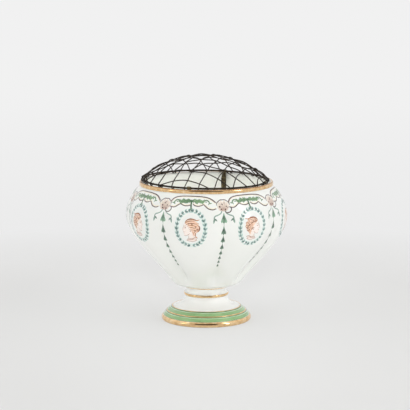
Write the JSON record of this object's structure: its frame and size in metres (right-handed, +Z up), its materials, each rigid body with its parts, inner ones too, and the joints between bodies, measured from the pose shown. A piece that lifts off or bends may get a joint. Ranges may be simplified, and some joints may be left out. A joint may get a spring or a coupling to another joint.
{
  "type": "rose bowl",
  "caption": "Footed porcelain rose bowl with lobed sides and a gilt rim, holding a lift-out domed flower grille of woven wire.",
  "frame": {"origin": "on the table, under the middle of the foot", "axes": "+Z up, -Y through the middle of one lobe, which is a front"},
  "size_m": [0.1536, 0.1536, 0.1579],
  "materials": {
    "bowl_porcelain": "white glazed porcelain, enamelled and gilt",
    "foot_porcelain": "white glazed porcelain with a green ground band and gilt lines",
    "ring_wire": "dark bronzed wire",
    "mesh_wire": "dark bronzed wire",
    "leg_strip": "dulled brass strip"
  },
  "bodies": {
    "vessel": {"bowl": "bowl_porcelain", "pedestal_foot": "foot_porcelain"},
    "grille": {"grille_ring": "ring_wire", "wire_a_1": "mesh_wire", "wire_a_2": "mesh_wire", "wire_a_3": "mesh_wire", "wire_a_4": "mesh_wire", "wire_a_5": "mesh_wire", "wire_a_6": "mesh_wire", "wire_a_7": "mesh_wire", "wire_a_8": "mesh_wire", "wire_a_9": "mesh_wire", "wire_b_1": "mesh_wire", "wire_b_2": "mesh_wire", "wire_b_3": "mesh_wire", "wire_b_4": "mesh_wire", "wire_b_5": "mesh_wire", "wire_b_6": "mesh_wire", "wire_b_7": "mesh_wire", "wire_b_8": "mesh_wire", "wire_b_9": "mesh_wire", "spring_leg_1": "leg_strip", "spring_leg_2": "leg_strip", "spring_leg_3": "leg_strip", "spring_leg_4": "leg_strip"}
  },
  "joints": [
    {"name": "grille_lift", "type": "slide", "parent": "vessel", "child": "grille", "axis": [0, 0, 1], "range_m": [0, 0.05]}
  ]
}
